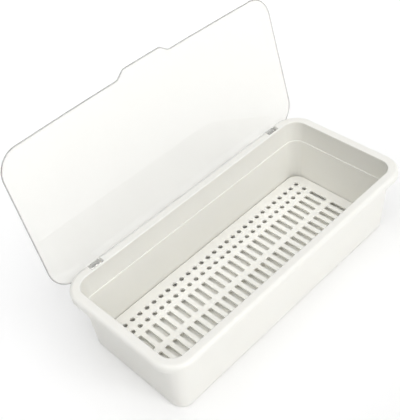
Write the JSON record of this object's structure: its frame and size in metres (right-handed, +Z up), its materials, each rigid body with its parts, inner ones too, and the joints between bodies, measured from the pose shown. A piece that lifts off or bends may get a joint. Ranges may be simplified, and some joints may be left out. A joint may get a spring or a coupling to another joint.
{
  "type": "chopstick holder",
  "caption": "Long open tub with a clear flip lid hinged on its back rim and a loose pierced drain tray on its floor, for keeping chopsticks clean and dry.",
  "frame": {"origin": "middle of the tub's flat underside", "axes": "+Z up, X along the tub's length, +Y towards the hinges and the opened lid"},
  "size_m": [0.2874, 0.1618, 0.1887],
  "materials": {
    "tub": "satin ivory white moulded plastic",
    "lid": "clear polished plastic",
    "drain_tray": "satin ivory white moulded plastic"
  },
  "bodies": {
    "tub": {"tub": "tub"},
    "lid": {"lid": "lid"},
    "tray": {"drain_tray": "drain_tray"}
  },
  "joints": [
    {"name": "lid_hinge", "type": "hinge", "parent": "tub", "child": "lid", "pos_m": [0, 0.0605, 0.06445], "axis": [1, 0, 0], "range_deg": [0, 104.3]},
    {"name": "tray_lift", "type": "slide", "parent": "tub", "child": "tray", "axis": [0, 0, 1], "range_m": [0, 0.055]}
  ]
}
